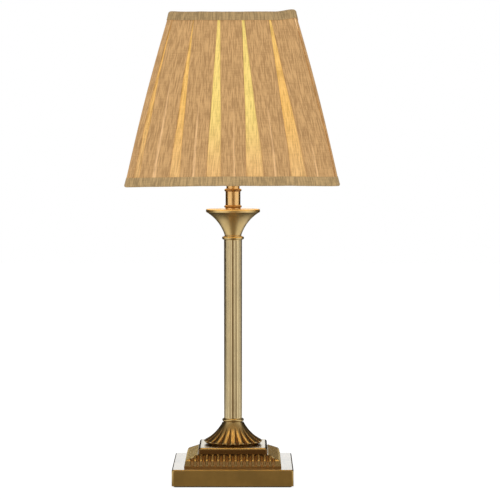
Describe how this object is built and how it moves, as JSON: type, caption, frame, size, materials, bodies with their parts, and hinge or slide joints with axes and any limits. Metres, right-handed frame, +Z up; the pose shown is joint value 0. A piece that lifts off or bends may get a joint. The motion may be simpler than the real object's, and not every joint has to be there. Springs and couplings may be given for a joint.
{
  "type": "table lamp",
  "caption": "Column table lamp: stepped square base, fluted plinth and column, trumpet collar, switched bayonet lampholder and square box-pleated shade.",
  "frame": {"origin": "centre of the underside of the felt pad, where the lamp stands", "axes": "+Z up along the column, -Y the front face of the square base and shade, +X right as the front is looked at"},
  "size_m": [0.21, 0.21, 0.4719],
  "materials": {
    "brass_body": "antique, satin",
    "brass_holder": "bright, lacquered",
    "rod_steel": "zinc plated",
    "weight_iron": "rough, as cast",
    "felt": "felt",
    "bush_plastic": "moulded",
    "insert_moulding": "heat-proof moulding",
    "contact_brass": "bare",
    "spring_steel": "bare",
    "bulb_glass": "pearl",
    "bulb_cap_metal": "bare",
    "bulb_insulator": "black glass",
    "stem_glass": "clear",
    "filament": "wire",
    "frame_wire": "white coated wire",
    "pleated_cloth": "woven, box pleated",
    "trim_cloth": "woven, on the cross",
    "lining_cloth": "thin woven lining"
  },
  "bodies": {
    "stand": {"felt_pad": "felt", "base_plinth": "brass_body", "base_weight": "weight_iron", "base_washer": "rod_steel", "base_nut": "rod_steel", "threaded_rod": "rod_steel", "cord_inlet_bush": "bush_plastic", "gadrooned_plinth": "brass_body", "fluted_boss": "brass_body", "lower_ring": "brass_body", "fluted_column": "brass_body", "upper_ring": "brass_body", "trumpet_collar": "brass_body", "trumpet_disc": "brass_body", "neck_sleeve": "brass_holder", "holder_cap": "brass_holder", "holder_skirt": "brass_holder", "holder_insert": "insert_moulding", "contact_springs": "spring_steel"},
    "switch": {"switch_bar": "insert_moulding"},
    "plungers": {"contact_plungers": "contact_brass"},
    "bulb": {"bulb_contacts": "contact_brass", "bulb_insulator": "bulb_insulator", "bulb_cap": "bulb_cap_metal", "bulb_pins": "contact_brass", "bulb_glass": "bulb_glass", "bulb_stem": "stem_glass", "bulb_filament": "filament"},
    "clamp_ring": {"shade_ring": "brass_holder"},
    "shade": {"fitter_ring": "frame_wire", "fitter_arms": "frame_wire", "bottom_wire_frame": "frame_wire", "top_wire_frame": "frame_wire", "corner_struts": "frame_wire", "shade_lining": "lining_cloth", "shade_cover": "pleated_cloth", "bottom_trim": "trim_cloth", "top_trim": "trim_cloth"}
  },
  "joints": [
    {"name": "shade_turn", "type": "hinge", "parent": "stand", "child": "shade", "pos_m": [0, 0, 0.3245], "axis": [0, 0, 1], "continuous": true},
    {"name": "clamp_ring_turn", "type": "hinge", "parent": "stand", "child": "clamp_ring", "pos_m": [0, 0, 0.3265], "axis": [0, 0, 1], "continuous": true},
    {"name": "switch_push", "type": "slide", "parent": "stand", "child": "switch", "axis": [1, 0, 0], "range_m": [-0.006, 0]},
    {"name": "plunger_press", "type": "slide", "parent": "stand", "child": "plungers", "axis": [0, 0, 1], "range_m": [-0.003, 0], "stiffness_N_per_m": 400, "springref_m": 0.01, "deforming": ["contact_springs"]},
    {"name": "bulb_twist", "type": "hinge", "parent": "plungers", "child": "bulb", "pos_m": [0, 0, 0.3365], "axis": [0, 0, 1], "range_deg": [-15, 0]}
  ]
}
